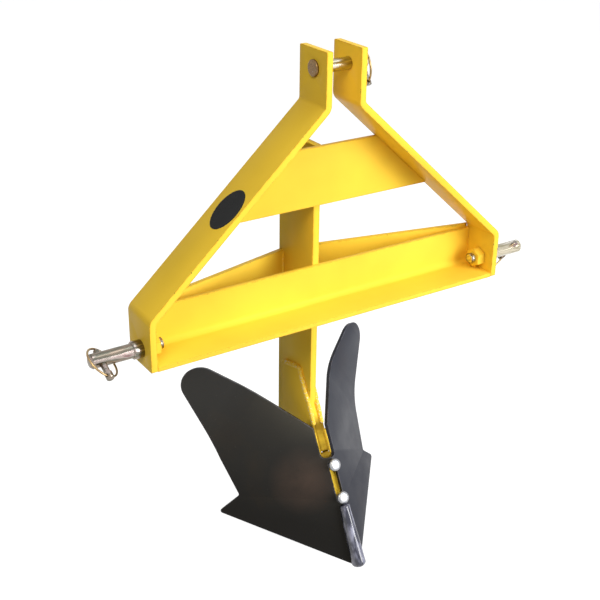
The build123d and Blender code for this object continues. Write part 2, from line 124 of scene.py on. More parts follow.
# plated finishes: the tints, the roughness, the grain's width and the stretch of the grain
PLATINGS = {
    "bright zinc": (
        ((0.23, 0.235, 0.26), (0.37, 0.38, 0.40), (0.25, 0.245, 0.24)), 0.38, 0.005, (1, 1, 1),
    ),
    # yellow zinc: its streaks along x, a hitch pin's axis, are partly chromate streaks and partly
    # painted bands of reflection
    "yellow zinc": (
        ((0.10, 0.065, 0.06), (0.29, 0.23, 0.18), (0.15, 0.15, 0.12), (0.44, 0.37, 0.34),
         (0.24, 0.13, 0.13)), 0.22, 0.009, (0.22, 1, 1),
    ),
    # the yellow zinc painted pale, a painted glare, on the right hitch pin and the top pin's
    # shaft
    "yellow zinc painted pale with glare": (
        ((0.30, 0.25, 0.16), (0.66, 0.60, 0.47), (0.38, 0.34, 0.23), (0.80, 0.76, 0.70)),
        0.2, 0.007, (0.15, 1, 1),
    ),
    "yellow zinc browned": (
        ((0.10, 0.055, 0.030), (0.27, 0.17, 0.08), (0.15, 0.095, 0.045), (0.34, 0.25, 0.17)),
        0.34, 0.004, (1, 1, 1),
    ),
    "ring wire": (
        ((0.22, 0.16, 0.07), (0.42, 0.30, 0.15), (0.27, 0.18, 0.10)), 0.32, 0.012, (1, 1, 1),
    ),
}

# the left bar's slope, as the ways down it and straight out of its face
DOWN_BAR = np.array([-0.7393, 0, -0.6733])
OUT_OF_BAR = np.array([-0.6733, 0, 0.7393])
LABEL_THICK = 0.0005

# where each lamp stands and how wide it is
KEY_LAMP = ((1.4, -2.9, 1.0), 2.0)
TOP_LAMP = ((0.9, -0.5, 2.8), 2.2)
FILL_LAMP = ((-1.8, -1.6, 2.3), 1.2)
WHITE = (1, 1, 1)


# sizes and colours that a user may change


class StudioSettings(bpy.types.PropertyGroup):
    camera_place: FloatVectorProperty(
        name="Camera place", description="Where the camera stands", subtype="TRANSLATION",
        unit="LENGTH", default=(-0.9068, -1.2913, 0.7525),
    )
    camera_yaw: FloatProperty(
        name="Camera yaw", description="Turn of the view from straight back toward the right",
        subtype="ANGLE", default=math.radians(33.46),
    )
    camera_pitch: FloatProperty(
        name="Camera pitch", description="How far the view looks down",
        subtype="ANGLE", default=math.radians(25.68),
    )
    camera_roll: FloatProperty(
        name="Camera roll", description="Turn of the picture about the line of sight",
        subtype="ANGLE", default=math.radians(0.83),
    )
    camera_lens: FloatProperty(
        name="Lens", description="Focal length on a 36 mm sensor",
        subtype="DISTANCE_CAMERA", default=66.2,
    )
    floor_drop: FloatProperty(
        name="Floor drop", description="Gap between the nose and the floor below it",
        subtype="DISTANCE", default=0.06,
    )
    floor_size: FloatProperty(
        name="Floor size", description="Half the floor's width", subtype="DISTANCE", default=12.0,
    )
    floor_tone: FloatProperty(
        name="Floor tone", description="Lightness of the floor itself", default=0.35,
    )
    floor_lift: FloatProperty(
        name="Floor lift", description="Brightness added to the floor where the camera sees it",
        default=0.91,
    )
    key_power: FloatProperty(
        name="Key light", description="Power of the large light at the front right",
        unit="POWER", default=121.0,
    )
    top_power: FloatProperty(
        name="Top light", description="Power of the light overhead", unit="POWER", default=32.0,
    )
    fill_power: FloatProperty(
        name="Fill light", description="Power of the light at the left", unit="POWER",
        default=40.0,
    )
    fill_tint: FloatVectorProperty(
        name="Fill tint", description="Colour of the light at the left", subtype="COLOR",
        size=3, default=(1.0, 0.90, 0.66),
    )
    room_glow: FloatProperty(
        name="Room glow", description="Strength of the even light from all round", default=0.15,
    )


class PaintSettings(bpy.types.PropertyGroup):
    yellow: FloatVectorProperty(
        name="Yellow", description="Colour of the frame's enamel", subtype="COLOR",
        size=3, default=(0.97, 0.665, 0.062),
    )
    worn_yellow: FloatVectorProperty(
        name="Worn yellow", description="Colour of the enamel where it runs thin on edges",
        subtype="COLOR", size=3, default=(0.72, 0.30, 0.015),
    )
    black: FloatVectorProperty(
        name="Black", description="Colour of the bottom's satin paint", subtype="COLOR",
        size=3, default=(0.0145, 0.0140, 0.0135),
    )
    # painted reflection: the right wing's black is tinted blue as a reflection
    blue_reflection_black: FloatVectorProperty(
        name="Blue reflection black", description="Colour of the satin paint on the right wing",
        subtype="COLOR", size=3, default=(0.0165, 0.0180, 0.0280),
    )
    # partly rubbed paint, partly a painted highlight along the edges
    highlit_rubbed_black: FloatVectorProperty(
        name="Highlit rubbed black", description="Colour of the satin paint where its edges are rubbed",
        subtype="COLOR", size=3, default=(0.17, 0.175, 0.215),
    )
    peel_size: FloatProperty(
        name="Orange peel size", description="Width of the ripples in the paint",
        subtype="DISTANCE", default=0.004,
    )
    edge_round: FloatProperty(
        name="Edge rounding", description="Radius on the frame's edges",
        subtype="DISTANCE", default=0.0011,
    )
    plate_round: FloatProperty(
        name="Plate rounding", description="Radius on the wings' edges",
        subtype="DISTANCE", default=0.0016,
    )


class WeldSettings(bpy.types.PropertyGroup):
    bead_r: FloatProperty(
        name="Bead radius", description="Radius of the frame's weld beads",
        subtype="DISTANCE", default=0.0028,
    )
    frog_bead_r: FloatProperty(
        name="Frog bead radius", description="Radius of the bead along the frog's front edges",
        subtype="DISTANCE", default=0.0036,
    )
    ripple: FloatProperty(
        name="Ripple length", description="Distance from one ripple of a bead to the next",
        subtype="DISTANCE", default=0.0026,
    )
    rib_r: FloatProperty(
        name="Nose rib radius", description="Radius of the rib at the nose",
        subtype="DISTANCE", default=0.013,
    )
    rib_top_r: FloatProperty(
        name="Nose rib top radius", description="Radius of the rib at its upper end",
        subtype="DISTANCE", default=0.009,
    )
    rib_start: FloatProperty(
        name="Nose rib start", description="Height of the rib's lower end along the ridge",
        subtype="DISTANCE", default=-0.0025,
    )
    rib_top: FloatProperty(
        name="Nose rib top", description="Height of the rib's upper end along the ridge",
        subtype="DISTANCE", default=0.107,
    )


class HardwareSettings(bpy.types.PropertyGroup):
    bolt_head_r: FloatProperty(
        name="Bolt head radius", description="Radius of the plough bolts' round heads",
        subtype="DISTANCE", default=0.0106,
    )
    bolt_head_h: FloatProperty(
        name="Bolt head height", description="Height of the heads above the ridge line",
        subtype="DISTANCE", default=0.007,
    )
    bolt_r: FloatProperty(
        name="Bolt radius", description="Radius of the plough bolts' threaded stems",
        subtype="DISTANCE", default=0.00555,
    )
    bolt_depth: FloatProperty(
        name="Bolt depth", description="How far the stems reach behind the ridge line",
        subtype="DISTANCE", default=0.055,
    )
    thread_pitch: FloatProperty(
        name="Thread pitch", description="Distance between two threads", subtype="DISTANCE",
        default=0.002,
    )
    label_place: FloatVectorProperty(
        name="Label place", description="Middle of the blank oval label on the left bar",
        subtype="TRANSLATION", unit="LENGTH", default=(-0.1814, -0.0025, 0.1846),
    )
    label_half_length: FloatProperty(
        name="Label half length", description="Half the label's length down the bar",
        subtype="DISTANCE", default=0.035,
    )
    label_half_width: FloatProperty(
        name="Label half width", description="Half the label's width across the bar",
        subtype="DISTANCE", default=0.0254,
    )
    wire_r: FloatProperty(
        name="Ring wire radius", description="Radius of the linch rings' wire",
        subtype="DISTANCE", default=0.0016,
    )


# meshes


def put(name, points, faces, node=None, body="plough", slot=None):
    """A new smooth object from points and faces; it rides on a body and may stand for a node."""
    mesh = bpy.data.meshes.new(name)
    mesh.from_pydata(np.asarray(points).tolist(), [], np.asarray(faces).tolist())
    mesh.validate()
    mesh.update()
    mesh.polygons.foreach_set("use_smooth", np.full(len(mesh.polygons), True))
    piece = bpy.data.objects.new(name, mesh)
    bpy.context.scene.collection.objects.link(piece)
    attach(piece, body)
    if node:
        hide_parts(node)
    return piece


def softened(name, node, edge):
    """A node's own shape with its points merged and its edges rounded."""
    mesh = NODES[node].data.copy()
    mesh.materials.clear()
    shell = bmesh.new()
    shell.from_mesh(mesh)
    bmesh.ops.remove_doubles(shell, verts=shell.verts, dist=MERGE_DISTANCE)
    for face in shell.faces:
        face.smooth = True
    shell.to_mesh(mesh)
    shell.free()
    piece = bpy.data.objects.new(name, mesh)
    bpy.context.scene.collection.objects.link(piece)
    rounding = piece.modifiers.new("rounded edges", "BEVEL")
    rounding.width = edge
    rounding.segments = 3
    rounding.limit_method = "ANGLE"
    rounding.angle_limit = SHARP_ANGLE
    rounding.harden_normals = True
    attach(piece, "plough")
    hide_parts(node)
    return piece


def grid_faces(rows, columns, loop_rows=False):
    """Four-cornered faces of a rows by columns grid of points, joined round its columns, and
    round its rows too where loop_rows is set."""
    row = np.arange(rows if loop_rows else rows - 1)[:, None]
    column = np.arange(columns)[None, :]
    next_row = (row + 1) % rows
    next_column = (column + 1) % columns
    corners = (
        row * columns + column, row * columns + next_column,
        next_row * columns + next_column, next_row * columns + column,
    )
    return np.stack(np.broadcast_arrays(*corners), -1).reshape(-1, 4)


def square_to(axis):
    """Two directions square to an axis and to each other, the second turned left of the first."""
    rest = np.eye(3)[np.argmin(np.abs(axis))]
    first = np.cross(axis, rest)
    first = first / np.linalg.norm(first)
    return first, np.cross(axis, first)


def turned(centre, axis, along, radius, around=64):
    """A turned shape: at each distance along its axis from the centre, a circle of that
    distance's radius. radius is one number a distance, or one a distance and angle. A radius
    of nearly nothing at the first and last distance closes the ends."""
    first, second = square_to(axis)
    angle = np.linspace(0, FULL_TURN, around, endpoint=False)
    radius = np.broadcast_to(np.reshape(radius, (len(along), -1)), (len(along), around))
    out = np.cos(angle)[:, None] * first + np.sin(angle)[:, None] * second
    points = centre + np.multiply.outer(along, axis)[:, None, :] + radius[..., None] * out
    return points.reshape(-1, 3), grid_faces(len(along), around)


def thread_radius(along, start, end, radius, depth, pitch, around=64):
    """Radius of a threaded stem: a triangle wave of the distance along less the share of a
    turn, depth deep, inside the crest's radius, and fading out at the thread's two ends."""
    angle = np.linspace(0, 1, around, endpoint=False)[None, :]
    wave = np.abs((np.asarray(along)[:, None] / pitch - angle) % 1 - 0.5) * 2
    fade = np.clip(np.minimum(along - start, end - along) / pitch, 0, 1)[:, None]
    return radius - depth * wave * fade


def six_sided(centre, axis, height, across, around=96):
    """A hexagonal nut: at each angle the distance to the nearest flat, cut down by a cone at
    both ends, so that each corner carries a curved chamfer."""
    angle = np.linspace(0, FULL_TURN, around, endpoint=False)
    flat = across / 2 / np.cos(angle % (FULL_TURN / 6) - FULL_TURN / 12)
    steps = np.array([0, 0, 0.04, 0.1, 0.18, 0.3, 0.7, 0.82, 0.9, 0.96, 1, 1])
    end = np.minimum(steps, 1 - steps) * height
    cone = across / 2 * NUT_CHAMFER + end * NUT_CHAMFER_SLOPE
    radius = np.minimum(flat[None, :], cone[:, None])
    radius[[0, -1]] = NEARLY_NOTHING
    return turned(centre, axis, steps * height, radius, around)


def bead(start, end, radius, ripple, seed, around=14):
    """A weld bead: a tube carried from start to end, its radius swelling a little with every
    ripple and wandering with a sum of slow sines, its path wandering too, and its two ends
    rounded as the root of one less the square of the nearness to the end."""
    start, end = np.asarray(start, float), np.asarray(end, float)
    length = np.linalg.norm(end - start)
    along = np.linspace(0, length, max(12, int(length / ripple * 5)))
    chance = np.random.default_rng(seed)
    phase = chance.uniform(0, FULL_TURN, 6)
    slow = sum(
        np.sin(along / (0.006 + 0.005 * place) + phase[place]) for place in range(3)
    ) / 3
    drift = np.sin(along / 0.009 + phase[4]) + 0.6 * np.sin(along / 0.0041 + phase[5])
    crest = np.abs(np.sin(np.pi * along / ripple + phase[3]))
    near_end = np.clip(np.minimum(along, length - along) / (1.4 * radius), 0, 1)
    taper = np.sqrt(np.clip(1 - (1 - near_end) ** 2, 1e-6, 1))
    axis = (end - start) / length
    first, second = square_to(axis)
    angle = np.linspace(0, FULL_TURN, around, endpoint=False)
    wide = radius * taper * (1 + 0.12 * crest + 0.10 * slow)
    out = np.cos(angle)[:, None] * first + np.sin(angle)[:, None] * second
    middle = start + along[:, None] * axis + (0.05 * radius * drift)[:, None] * second
    points = middle[:, None, :] + wide[:, None, None] * out
    return points.reshape(-1, 3), grid_faces(len(along), around)


def joined(shapes):
    """Several (points, faces) in one, each one's face numbers moved past the points before it."""
    points, faces, count = [], [], 0
    for places, corners in shapes:
        points.append(places)
        faces.append(corners + count)
        count += len(places)
    return np.concatenate(points), np.concatenate(faces)


def both_sides(point_pairs):
    """Pairs of points on the right side, and the same pairs mirrored to the left."""
    mirrored = np.array(point_pairs) * (-1, 1, 1)
    return [*np.array(point_pairs), *mirrored]


def on_ridge(height, ahead=0.0, aside=0.0):
    """A point at a height along the ridge line, moved ahead of it and aside."""
    return NOSE + RIDGE_UP * height + RIDGE_AHEAD * ahead + SIDEWAYS * aside


# materials


def material(name):
    """A new node material: returns it with its node tree and its principled shader."""
    made = bpy.data.materials.new(name)
    made.use_nodes = True
    shader = made.node_tree.nodes["Principled BSDF"]
    return made, made.node_tree, shader


def dress(piece, finish):
    """Gives a piece one material."""
    piece.data.materials.clear()
    piece.data.materials.append(finish)
    return piece


def own_place(tree):
    """Where a point of a piece is, on the piece's own coordinates."""
    return tree.nodes.new("ShaderNodeTexCoord").outputs["Object"]


def cloudy(tree, width, detail=3.0, stretch=(1, 1, 1)):
    """A noise of the given cell width on the piece's own coordinates: its Fac output."""
    scaled = tree.nodes.new("ShaderNodeMapping")
    scaled.inputs["Scale"].default_value = stretch
    noise = tree.nodes.new("ShaderNodeTexNoise")
    noise.inputs["Scale"].default_value = 1 / width
    noise.inputs["Detail"].default_value = detail
    noise.inputs["Roughness"].default_value = 0.5
    tree.links.new(own_place(tree), scaled.inputs["Vector"])
    tree.links.new(scaled.outputs["Vector"], noise.inputs["Vector"])
    return noise.outputs["Fac"]


def stops(tree, factor, points):
    """A colour ramp through (place, colour) stops, driven by a factor: its Color output."""
    ramp = tree.nodes.new("ShaderNodeValToRGB")
    elements = ramp.color_ramp.elements
    while len(elements) < len(points):
        elements.new(0.5)
    for element, (place, colour) in zip(elements, points):
        element.position = place
        element.color = (*colour, 1)
    tree.links.new(factor, ramp.inputs["Fac"])
    return ramp.outputs["Color"]


def spread(tree, factor, low, high, to_low=0.0, to_high=1.0):
    """A factor's range from low to high laid over another range, and held inside it."""
    reach = tree.nodes.new("ShaderNodeMapRange")
    for socket, number in (
        ("From Min", low), ("From Max", high), ("To Min", to_low), ("To Max", to_high)
    ):
        reach.inputs[socket].default_value = number
    tree.links.new(factor, reach.inputs["Value"])
    return reach.outputs["Result"]


def combine(tree, how, first, second):
    """Two factors added, multiplied or otherwise combined by a Math node."""
    node = tree.nodes.new("ShaderNodeMath")
    node.operation = how
    tree.links.new(first, node.inputs[0])
    tree.links.new(second, node.inputs[1])
    return node.outputs["Value"]


def blended(tree, factor, first, second):
    """One colour over another by a factor; each is a colour or another node's output."""
    mix = tree.nodes.new("ShaderNodeMix")
    mix.data_type = "RGBA"
    tree.links.new(factor, mix.inputs["Factor"])
    for socket, colour in ((mix.inputs[6], first), (mix.inputs[7], second)):
        if isinstance(colour, bpy.types.NodeSocket):
            tree.links.new(colour, socket)
        else:
            socket.default_value = (*colour, 1)
    return mix.outputs[2]


def edge_mask(tree, radius):
    """Where a surface turns within a radius: one less the product of the rounded normal and
    the true one, spread so that a square edge is one."""
    rounded = tree.nodes.new("ShaderNodeBevel")
    rounded.samples = 4
    rounded.inputs["Radius"].default_value = radius
    shape = tree.nodes.new("ShaderNodeNewGeometry")
    product = tree.nodes.new("ShaderNodeVectorMath")
    product.operation = "DOT_PRODUCT"
    tree.links.new(rounded.outputs["Normal"], product.inputs[0])
    tree.links.new(shape.outputs["Normal"], product.inputs[1])
    return spread(tree, product.outputs["Value"], 0.99, 0.90)


def bumped(tree, shader, height, strength, distance):
    """Raises a surface by a height factor, through its shader's normal."""
    bump = tree.nodes.new("ShaderNodeBump")
    bump.inputs["Strength"].default_value = strength
    bump.inputs["Distance"].default_value = distance
    tree.links.new(height, bump.inputs["Height"])
    tree.links.new(bump.outputs["Normal"], shader.inputs["Normal"])


def tinted(colour, share):
    """A colour with every part multiplied by a share."""
    return tuple(part * share for part in colour)


def near_place(tree, place, inner, outer):
    """One near a place on the plough, falling to nothing between two distances from it."""
    distance = tree.nodes.new("ShaderNodeVectorMath")
    distance.operation = "DISTANCE"
    distance.inputs[1].default_value = place
    tree.links.new(own_place(tree), distance.inputs[0])
    return spread(tree, distance.outputs["Value"], outer, inner)


def yellow_enamel(
    paint, name="yellow enamel", rough=0.40, peel=0.10, grains=0.0, throat_shade_place=None, shine=0.09
):
    """Enamel with a slow change of tone, an orange peel, thin orange edges and a few chips,
    or over a weld, where no edge is, with pale grains of spatter under it. Where a place is
    given, painted shade darkens the enamel to olive about it, standing in for the throat's shade."""
    made, tree, shader = material(name)
    dull, pure, rich = (tinted(paint.yellow, share) for share in (0.93, 1.0, 1.05))
    tone = stops(tree, cloudy(tree, 0.12, 2.0), ((0.32, dull), (0.5, pure), (0.68, rich)))
    if grains:
        pale = spread(tree, cloudy(tree, 0.0022, 2.0), 0.56, 0.64, 0, grains)
        colour = blended(tree, pale, tone, (0.95, 0.93, 0.82))
    else:
        edge = edge_mask(tree, 0.003)
        broken = spread(tree, cloudy(tree, 0.011, 4.0), 0.36, 0.56)
        thin = combine(tree, "MULTIPLY", edge, broken)
        colour = blended(tree, spread(tree, thin, 0, 1, 0, 0.85), tone, tuple(paint.worn_yellow))
        chips = combine(
            tree, "MULTIPLY", edge, spread(tree, cloudy(tree, 0.007, 3.0), 0.66, 0.69)
        )
        colour = blended(tree, chips, colour, (0.07, 0.045, 0.03))
    # painted shade: the enamel about the given place darkened to olive, as the throat's shade
    if throat_shade_place is not None:
        throat_shade_mask = combine(
            tree, "MULTIPLY", near_place(tree, throat_shade_place, 0.034, 0.050),
            spread(tree, cloudy(tree, 0.02, 3.0), 0.3, 0.6, 0.55, 0.95),
        )
        colour = blended(tree, throat_shade_mask, colour, (0.215, 0.125, 0.010))
    tree.links.new(colour, shader.inputs["Base Color"])
    tree.links.new(
        spread(tree, cloudy(tree, 0.05, 4.0), 0.3, 0.7, rough - 0.05, rough + 0.07),
        shader.inputs["Roughness"],
    )
    shader.inputs["Specular IOR Level"].default_value = shine
    shader.inputs["Specular Tint"].default_value = (1.0, 0.85, 0.4, 1)
    bumped(tree, shader, cloudy(tree, paint.peel_size, 2.0), peel, 0.0005)
    return made


def satin_black(paint, name, black, tint, reflection_place=None):
    """Satin paint, a little warmer and duller in clouds and shinier higher up, with edges
    rubbed to a blue grey, partly wear and partly a painted edge highlight. Where a place is
    given, a warm reflection of the yellow frame is painted on about it."""
    made, tree, shader = material(name)
    warm = (black[0] * 1.5, black[1] * 1.25, black[2])
    tone = stops(
        tree, cloudy(tree, 0.09, 3.0), ((0.3, tinted(black, 0.9)), (0.55, black), (0.75, warm))
    )
    edge = edge_mask(tree, 0.0026)
    # the edges' blue grey: partly rubbed paint, partly a painted edge highlight
    rubbed = combine(
        tree, "MULTIPLY", edge, spread(tree, cloudy(tree, 0.018, 4.0), 0.34, 0.66)
    )
    colour = blended(tree, rubbed, tone, tuple(paint.highlit_rubbed_black))
    # painted reflection: a warm glow of the yellow frame on the black about the given place
    if reflection_place is not None:
        painted_reflection = combine(
            tree, "MULTIPLY", near_place(tree, reflection_place, 0.008, 0.062),
            spread(tree, cloudy(tree, 0.04, 3.0), 0.25, 0.65, 0.35, 0.9),
        )
        colour = blended(tree, painted_reflection, colour, (0.062, 0.042, 0.034))
    specks = spread(tree, cloudy(tree, 0.0035, 2.0), 0.735, 0.75, 0, 0.25)
    colour = blended(tree, specks, colour, (0.09, 0.085, 0.08))
    tree.links.new(colour, shader.inputs["Base Color"])
    tree.links.new(
        spread(tree, cloudy(tree, 0.04, 4.0), 0.3, 0.7, 0.34, 0.44), shader.inputs["Roughness"]
    )
    parts = tree.nodes.new("ShaderNodeSeparateXYZ")
    tree.links.new(own_place(tree), parts.inputs[0])
    tree.links.new(
        spread(tree, parts.outputs["Z"], -0.40, -0.20, 0.08, 0.34),
        shader.inputs["Specular IOR Level"],
    )
    # on the right wing a blue gloss tint, part of its painted reflection
    shader.inputs["Specular Tint"].default_value = (*tint, 1)
    bumped(tree, shader, cloudy(tree, paint.peel_size, 2.0), 0.12, 0.0005)
    return made


def weld_black():
    """The nose rib's weld under a blue-black gloss, with pale streaks along the ridge
    painted on as highlights; the blue of the black is a painted reflection.
    """
    made, tree, shader = material("black over weld")
    # painted highlights: pale streaks along the ridge, over a black tinted blue as a painted
    # reflection
    shine = spread(tree, cloudy(tree, 0.006, 3.0, (1, 0.35, 0.2)), 0.46, 0.68)
    colour = blended(tree, shine, (0.016, 0.018, 0.042), (0.27, 0.28, 0.39))
    tree.links.new(colour, shader.inputs["Base Color"])
    tree.links.new(spread(tree, shine, 0, 1, 0.16, 0.34), shader.inputs["Roughness"])
    shader.inputs["Specular IOR Level"].default_value = 0.8
    bumped(tree, shader, cloudy(tree, 0.003, 2.0), 0.2, 0.0004)
    return made


def plated_steel(name, colours, rough, grain, stretch):
    """Plated steel: a ramp of tints over clouds, a roughness that varies, and a fine grain."""
    made, tree, shader = material(name)
    places = np.linspace(0.28, 0.72, len(colours)).tolist()
    tree.links.new(
        stops(tree, cloudy(tree, grain, 3.0, stretch), tuple(zip(places, colours))),
        shader.inputs["Base Color"],
    )
    shader.inputs["Metallic"].default_value = 1.0
    tree.links.new(
        spread(tree, cloudy(tree, 0.006, 3.0, stretch), 0.3, 0.7, rough - 0.05, rough + 0.07),
        shader.inputs["Roughness"],
    )
    bumped(tree, shader, cloudy(tree, 0.0016, 2.0, stretch), 0.05, 0.0002)
    return made


def label_black():
    """The blank label's glossy film, near black, a little paler in clouds."""
    made, tree, shader = material("label black")
    dark, pale = (0.004, 0.0045, 0.0045), (0.009, 0.010, 0.011)
    tone = stops(tree, cloudy(tree, 0.03, 2.0), ((0.35, dark), (0.7, pale)))
    shader.inputs["Specular IOR Level"].default_value = 0.12
    tree.links.new(tone, shader.inputs["Base Color"])
    tree.links.new(
        spread(tree, cloudy(tree, 0.01, 3.0), 0.3, 0.7, 0.24, 0.34), shader.inputs["Roughness"]
    )
    bumped(tree, shader, cloudy(tree, 0.005, 2.0), 0.05, 0.0003)
    return made


# operators


class PLOUGH_OT_stage(bpy.types.Operator):
    """Lays the floor, the lamps, the world and the camera"""

    bl_idname = "plough.stage"
    bl_label = "Stage"

    def execute(self, context):
        studio = context.scene.plough_studio
        scene = context.scene
        scene.view_settings.view_transform = "Standard"
        yaw, pitch, roll = studio.camera_yaw, studio.camera_pitch, studio.camera_roll
        ahead = np.array(
            [math.sin(yaw) * math.cos(pitch), math.cos(yaw) * math.cos(pitch), -math.sin(pitch)]
        )
        level = np.array([math.cos(yaw), -math.sin(yaw), 0])
        upward = np.cross(level, ahead)
        right = math.cos(roll) * level + math.sin(roll) * upward
        up = math.cos(roll) * upward - math.sin(roll) * level
        turn = Matrix([right.tolist(), up.tolist(), (-ahead).tolist()]).transposed()
        lens = bpy.data.cameras.new("studio camera")
        lens.lens = studio.camera_lens
        lens.sensor_width = 36.0
        camera = bpy.data.objects.new("studio camera", lens)
        camera.location = studio.camera_place
        camera.rotation_euler = turn.to_euler()
        scene.collection.objects.link(camera)
        scene.camera = camera
        self.floor(studio)
        self.lamps(studio)
        return {"FINISHED"}

    def seen_rays(self, tree):
        """One where a ray comes from the camera, a gloss or a clear surface."""
        rays = tree.nodes.new("ShaderNodeLightPath")
        gloss = combine(
            tree, "MAXIMUM", rays.outputs["Is Camera Ray"], rays.outputs["Is Glossy Ray"]
        )
        return combine(tree, "MAXIMUM", gloss, rays.outputs["Is Transmission Ray"])

    def floor(self, studio):
        """A wide flat floor whose colour is white to the camera."""
        half = studio.floor_size
        level = CAD_BOX[0][2] - studio.floor_drop
        mesh = bpy.data.meshes.new("floor")
        corners = ((-half, -half), (half, -half), (half, half), (-half, half))
        mesh.from_pydata([(*corner, level) for corner in corners], [], [(0, 1, 2, 3)])
        piece = bpy.data.objects.new("floor", mesh)
        bpy.context.scene.collection.objects.link(piece)
        made, tree, shader = material("pale floor")
        shader.inputs["Base Color"].default_value = (*[studio.floor_tone] * 3, 1)
        shader.inputs["Roughness"].default_value = 0.9
        shader.inputs["Specular IOR Level"].default_value = 0.1
        shader.inputs["Emission Color"].default_value = (*WHITE, 1)
        lift = tree.nodes.new("ShaderNodeMath")
        lift.operation = "MULTIPLY"
        lift.inputs[1].default_value = studio.floor_lift
        tree.links.new(self.seen_rays(tree), lift.inputs[0])
        tree.links.new(lift.outputs["Value"], shader.inputs["Emission Strength"])
        mesh.materials.append(made)

    def lamps(self, studio):
        """Large soft lamps aimed at the plough, and an even glow from the world."""
        for name, (place, size), power, tint in (
            ("key lamp", KEY_LAMP, studio.key_power, WHITE),
            ("top lamp", TOP_LAMP, studio.top_power, WHITE),
            ("fill lamp", FILL_LAMP, studio.fill_power, studio.fill_tint),
        ):
            lamp = bpy.data.lights.new(name, "AREA")
            lamp.shape = "SQUARE"
            lamp.size = size
            lamp.energy = power
            lamp.color = tint
            holder = bpy.data.objects.new(name, lamp)
            away = np.array(place) / np.linalg.norm(place)
            level = np.cross((0, 0, 1.0), away)
            level = level / np.linalg.norm(level)
            turn = Matrix([level.tolist(), np.cross(away, level).tolist(), away.tolist()])
            holder.rotation_euler = turn.transposed().to_euler()
            holder.location = place
            bpy.context.scene.collection.objects.link(holder)
        world = bpy.data.worlds.new("studio")
        bpy.context.scene.world = world
        world.use_nodes = True
        tree = world.node_tree
        glow = tree.nodes["Background"]
        glow.inputs["Color"].default_value = (*WHITE, 1)
        seen = tree.nodes.new("ShaderNodeMix")
        seen.inputs["A"].default_value = studio.room_glow
        seen.inputs["B"].default_value = 1.0
        tree.links.new(self.seen_rays(tree), seen.inputs["Factor"])
        tree.links.new(seen.outputs["Result"], glow.inputs["Strength"])


class PLOUGH_OT_frame(bpy.types.Operator):
    """Builds the painted frame, shank, braces and frog, with the blank label"""

    bl_idname = "plough.frame"
    bl_label = "Painted frame"

    def execute(self, context):
        paint = context.scene.plough_paint
        enamel = yellow_enamel(paint)
        # the shank, frog and bolt bar carry painted shade in the throat
        frog = yellow_enamel(paint, "yellow enamel with painted throat shade", throat_shade_place=THROAT, shine=0.02)
        for finish, nodes in (
            (enamel, (
                "mast_bar_left", "mast_bar_right", "angle_beam", "cross_plate",
                "brace_left", "brace_right",
            )),
            (frog, ("shank", "frog_plate_left", "frog_plate_right", "bolt_bar")),
        ):
            for node in nodes:
                piece = softened(f"{node}_painted", node, paint.edge_round)
                dress(piece, finish)
        self.label(context.scene.plough_hardware)
        return {"FINISHED"}

    def label(self, sizes):
        """The blank oval label: an ellipse of rings from its middle out, each ring a share of
        the rim's size. The field is flat, the rim stands a little higher, and the edge goes
        down into the bar."""
        around = 96
        share = np.array([1e-4, 0.3, 0.6, 0.8, 0.86, 0.9, 0.93, 0.96, 0.985, 1.0, 1.0])
        lift = np.array([5, 5, 5, 5, 5, 5.6, 6.2, 6.2, 5.2, 3, -4]) / 6.2 * LABEL_THICK
        angle = np.linspace(0, FULL_TURN, around, endpoint=False)
        across = np.array([0, 1.0, 0])
        rim = (
            sizes.label_half_length * np.cos(angle)[:, None] * DOWN_BAR
            + sizes.label_half_width * np.sin(angle)[:, None] * across
        )
        points = (
            np.array(sizes.label_place)
            + share[:, None, None] * rim
            + lift[:, None, None] * OUT_OF_BAR
        ).reshape(-1, 3)
        faces = grid_faces(len(share), around)[:, ::-1]
        dress(put("blank_oval_label", points, faces, slot="black_paint"), label_black())


class PLOUGH_OT_welds(bpy.types.Operator):
    """Lays the weld beads that hold the frame, the shank and the frog together"""

    bl_idname = "plough.welds"
    bl_label = "Weld beads"

    def execute(self, context):
        paint, weld = context.scene.plough_paint, context.scene.plough_weld
        enamel = yellow_enamel(paint, "yellow enamel over weld", 0.34, 0.3, 0.12)
        bright = yellow_enamel(paint, "yellow enamel over frog weld", 0.26, 0.4, 0.7)
        front = (
            (on_ridge(0.350, -0.0180, 0.0088), on_ridge(0.286, -0.0180, 0.0088)),
            (on_ridge(0.288, -0.0180, 0.0082), on_ridge(0.246, -0.0185, 0.0082)),
            (on_ridge(0.349, -0.0205, 0.0082), FROG_TOP_REAR),
        )
        hidden = ((on_ridge(0.236, -0.0200, 0.0118), on_ridge(0.082, -0.0200, 0.0118)),)
        for name, ends, radius, seed, finish in (
            ("frame_welds", FRAME_WELDS, weld.bead_r, 0, enamel),
            ("frog_welds", front, weld.frog_bead_r, 30, bright),
            ("wing_welds", hidden, weld.bead_r, 50, enamel),
        ):
            shapes = [
                bead(start, end, radius, weld.ripple, seed + place)
                for place, (start, end) in enumerate(both_sides(ends))
            ]
            dress(put(name, *joined(shapes), slot="yellow_paint"), finish)
        return {"FINISHED"}


